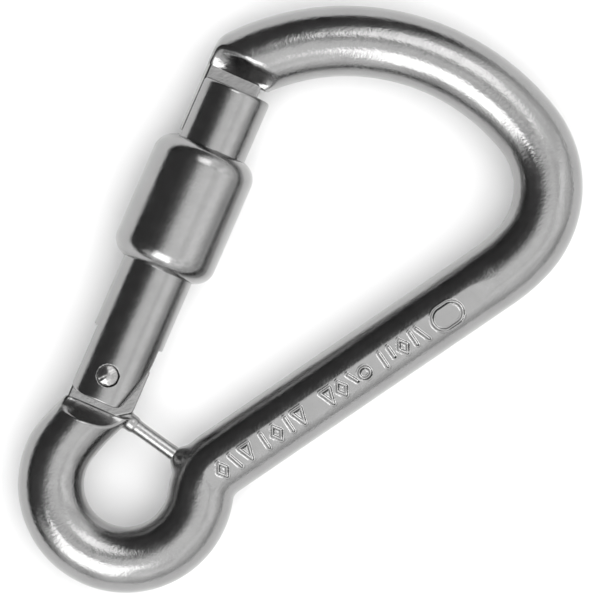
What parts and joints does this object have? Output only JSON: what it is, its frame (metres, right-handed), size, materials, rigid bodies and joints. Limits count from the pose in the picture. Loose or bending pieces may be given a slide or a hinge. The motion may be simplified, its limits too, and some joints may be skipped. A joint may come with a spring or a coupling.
{
  "type": "locking carabiner",
  "caption": "Snap hook bent from round steel bar, with a sprung swing gate, a screw sleeve that locks it and a rope eye closed by a small cross bar.",
  "frame": {"origin": "centre of the box round the part, at its underside, with the hook lying flat", "axes": "+Y up the closed gate from the hinge to the nose, +X from the gate towards the spine, +Z through the thickness, along the hinge rivet"},
  "size_m": [0.0616, 0.0966, 0.0155],
  "materials": {
    "polished_bar": "tumble-polished stainless bar",
    "turned_steel": "turned and polished stainless",
    "sleeve_steel": "turned and polished stainless",
    "rivet_steel": "peened and ground flush",
    "spring_wire": "drawn spring wire"
  },
  "bodies": {
    "body": {"hook_body": "polished_bar", "eye_bar": "polished_bar"},
    "gate": {"gate_barrel": "turned_steel", "hinge_rivet": "rivet_steel", "return_spring": "spring_wire"},
    "plunger": {"spring_plunger": "spring_wire"},
    "sleeve": {"locking_sleeve": "sleeve_steel"}
  },
  "joints": [
    {"name": "gate_hinge", "type": "hinge", "parent": "body", "child": "gate", "pos_m": [-0.02348, -0.01853, 0.00775], "axis": [0, 0, -1], "range_deg": [0, 38], "stiffness_Nm_per_rad": 0.15, "springref_deg": -28.65},
    {"name": "sleeve_travel", "type": "slide", "parent": "gate", "child": "sleeve", "axis": [0, 1, 0], "range_m": [0, 0.0085]},
    {"name": "plunger_travel", "type": "slide", "parent": "gate", "child": "plunger", "axis": [0, 1, 0], "range_m": [0, 0.00135], "deforming": ["return_spring"]}
  ],
  "couplings": [
    {"joint": "plunger_travel", "follows": "gate_hinge", "m_per_rad": 0.001964}
  ]
}
